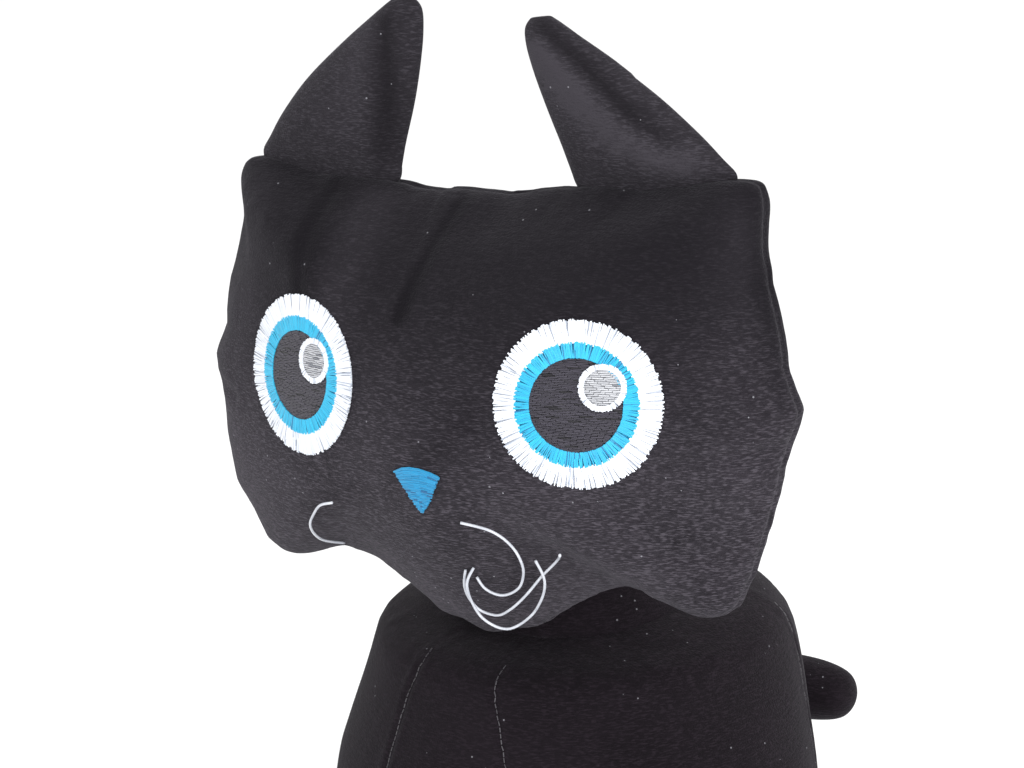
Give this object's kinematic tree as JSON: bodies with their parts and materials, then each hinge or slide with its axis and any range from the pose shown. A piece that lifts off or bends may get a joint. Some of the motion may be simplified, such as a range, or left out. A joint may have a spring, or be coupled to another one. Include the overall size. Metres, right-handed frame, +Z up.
{
  "type": "plush cat",
  "caption": "Seated black plush cat with a wide pillow head, embroidered eyes and nose, nylon whiskers, folding ears and a swinging tail.",
  "frame": {"origin": "middle of the base panel, on the surface that the cat rests on", "axes": "+Z up, the cat faces -Y, +X is the cat's own left side"},
  "size_m": [0.1686, 0.1796, 0.2489],
  "materials": {
    "head_plush": "short upright pile, charcoal black",
    "body_plush": "short upright pile, deep black",
    "ear_plush": "short upright pile, charcoal black",
    "polyester_fill": "loose white fibre fill",
    "white_thread": "glossy white satin stitch",
    "blue_thread": "glossy blue satin and fill stitch",
    "dark_thread": "dark fill stitch",
    "grey_thread": "light grey fill stitch",
    "nylon": "clear whitish nylon strand"
  },
  "bodies": {
    "torso": {"body_side_left": "body_plush", "body_side_right": "body_plush", "chest_gusset": "body_plush", "back_panel": "body_plush", "base_panel": "body_plush", "body_stuffing": "polyester_fill", "front_paw_left": "body_plush", "front_paw_right": "body_plush", "hind_paw_left": "body_plush", "hind_paw_right": "body_plush"},
    "neck": {"neck_stuffing": "body_plush"},
    "head": {"face_panel": "head_plush", "head_back_panel": "head_plush", "head_stuffing": "polyester_fill", "eye_white_left": "white_thread", "eye_white_right": "white_thread", "eye_iris_left": "blue_thread", "eye_iris_right": "blue_thread", "eye_pupil_left": "dark_thread", "eye_pupil_right": "dark_thread", "eye_highlight_left": "grey_thread", "eye_highlight_right": "grey_thread", "nose_embroidery": "blue_thread", "whiskers_left": "nylon", "whiskers_right": "nylon"},
    "ear_left": {"ear_left_front": "ear_plush", "ear_left_back": "ear_plush", "ear_left_batting": "polyester_fill"},
    "ear_right": {"ear_right_front": "ear_plush", "ear_right_back": "ear_plush", "ear_right_batting": "polyester_fill"},
    "tail": {"tail_upper_panel": "body_plush", "tail_lower_panel": "body_plush", "tail_stuffing": "polyester_fill"}
  },
  "joints": [
    {"name": "head_turn", "type": "hinge", "parent": "torso", "child": "neck", "pos_m": [0, -0.006, 0.104], "axis": [0, 0, 1], "range_deg": [-20, 20], "stiffness_Nm_per_rad": 1.5},
    {"name": "head_nod", "type": "hinge", "parent": "neck", "child": "head", "pos_m": [0, -0.006, 0.104], "axis": [1, 0, 0], "range_deg": [-12, 5], "stiffness_Nm_per_rad": 1.5},
    {"name": "ear_left_bend", "type": "hinge", "parent": "head", "child": "ear_left", "pos_m": [0.04625, -0.04195, 0.21566], "axis": [0.9949, 0, 0.1011], "range_deg": [-25, 30], "stiffness_Nm_per_rad": 0.05},
    {"name": "ear_right_bend", "type": "hinge", "parent": "head", "child": "ear_right", "pos_m": [-0.04625, -0.04195, 0.21566], "axis": [0.9949, 0, -0.1011], "range_deg": [-25, 30], "stiffness_Nm_per_rad": 0.05},
    {"name": "tail_swing", "type": "hinge", "parent": "torso", "child": "tail", "pos_m": [0.004, 0.0725, 0.04], "axis": [0, 0, 1], "range_deg": [-25, 25], "stiffness_Nm_per_rad": 0.05}
  ]
}
